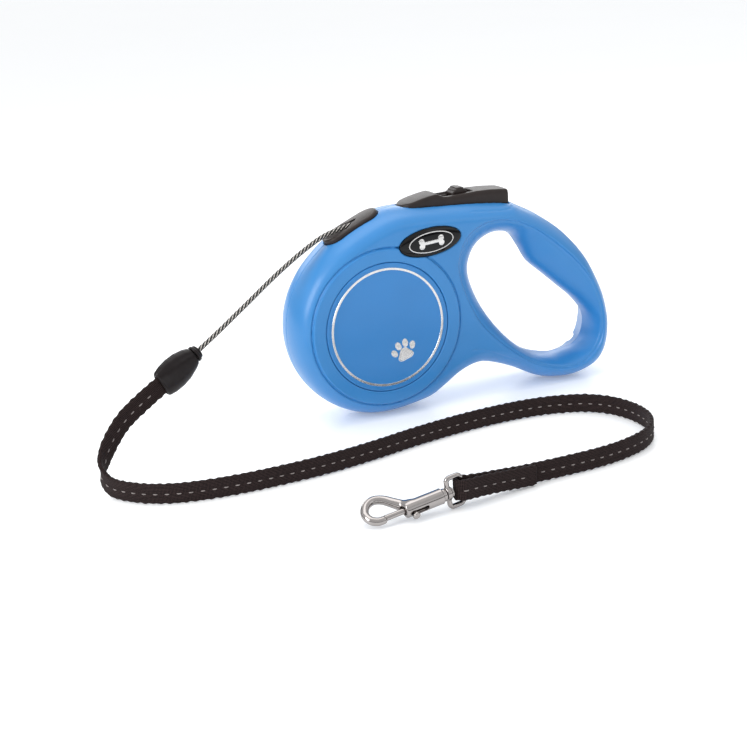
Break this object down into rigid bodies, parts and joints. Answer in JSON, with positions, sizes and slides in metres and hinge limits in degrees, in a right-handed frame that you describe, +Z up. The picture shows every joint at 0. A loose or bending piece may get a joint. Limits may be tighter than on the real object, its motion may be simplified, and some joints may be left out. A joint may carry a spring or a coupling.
{
  "type": "retractable leash",
  "caption": "Retractable cord leash with a round reel casing, loop grip, brake button, stop plug, stitched strap and swivel bolt snap.",
  "frame": {"origin": "Under the middle of the casing, on the surface that it stands on", "axes": "+X along the casing from the reel to the grip, +Y through its thickness away from the strap, +Z up"},
  "size_m": [0.2543, 0.1445, 0.0973],
  "materials": {
    "casing_plastic": "satin moulded plastic, mid blue",
    "disc_plastic": "satin blue panel with a thin silver ring",
    "badge_gloss": "domed gloss black with a silver line",
    "dark_plastic": "warm black fine-grained moulded plastic",
    "plug_plastic": "black satin moulded plastic",
    "reel_plastic": "natural white acetal",
    "cord_braid": "braided black cord with light grey flecks",
    "webbing": "black woven webbing with grey running stitches",
    "steel": "turned steel",
    "spring_steel": "blued spring steel",
    "chrome": "polished nickel chrome plate"
  },
  "bodies": {
    "casing": {"front_shell": "casing_plastic", "rear_shell": "casing_plastic", "front_disc": "disc_plastic", "rear_disc": "disc_plastic", "front_badge": "badge_gloss", "rear_badge": "badge_gloss", "cord_guide": "dark_plastic", "axle": "steel", "axle_washers": "steel", "casing_screws": "steel", "cord_lead_in": "cord_braid", "cord": "cord_braid", "mainspring": "spring_steel", "brake_spring": "spring_steel"},
    "reel": {"reel": "reel_plastic", "reel_cover": "reel_plastic", "cord_winding": "cord_braid"},
    "button": {"brake_button": "dark_plastic"},
    "slider": {"lock_slider": "dark_plastic"},
    "lead": {"cord_ferrule": "plug_plastic", "stop_plug": "plug_plastic", "strap": "webbing"},
    "bail": {"swivel_bail": "chrome"},
    "hook": {"hook_body": "chrome", "hook_rivet": "chrome", "bolt_spring": "spring_steel"},
    "bolt": {"hook_bolt": "chrome"}
  },
  "joints": [
    {"name": "reel_spin", "type": "hinge", "parent": "casing", "child": "reel", "pos_m": [-0.0374, 0, 0.042], "axis": [0, 1, 0], "range_deg": [0, 90], "deforming": ["mainspring"]},
    {"name": "lead_retract", "type": "slide", "parent": "casing", "child": "lead", "axis": [0.836, 0.2417, 0.4925], "range_m": [0, 0.0535], "deforming": ["cord"]},
    {"name": "brake_press", "type": "slide", "parent": "casing", "child": "button", "axis": [0, 0, -1], "range_m": [0, 0.003], "stiffness_N_per_m": 300, "springref_m": -0.002, "deforming": ["brake_spring"]},
    {"name": "lock_slide", "type": "slide", "parent": "button", "child": "slider", "axis": [-1, 0, 0], "range_m": [0, 0.0045]},
    {"name": "bail_swing", "type": "hinge", "parent": "lead", "child": "bail", "pos_m": [-0.0564, -0.1219, 0.0076], "axis": [-0.139, -0.0073, 0.9903], "range_deg": [-40, 40]},
    {"name": "hook_swivel", "type": "hinge", "parent": "bail", "child": "hook", "pos_m": [-0.0564, -0.1219, 0.0076], "axis": [-0.9889, -0.0518, -0.1392], "continuous": true},
    {"name": "bolt_slide", "type": "slide", "parent": "hook", "child": "bolt", "axis": [0.9889, 0.0518, 0.1392], "range_m": [0, 0.005], "stiffness_N_per_m": 200, "springref_m": -0.002, "deforming": ["bolt_spring"]}
  ],
  "couplings": [
    {"joint": "lead_retract", "follows": "reel_spin", "m_per_rad": 0.034}
  ]
}
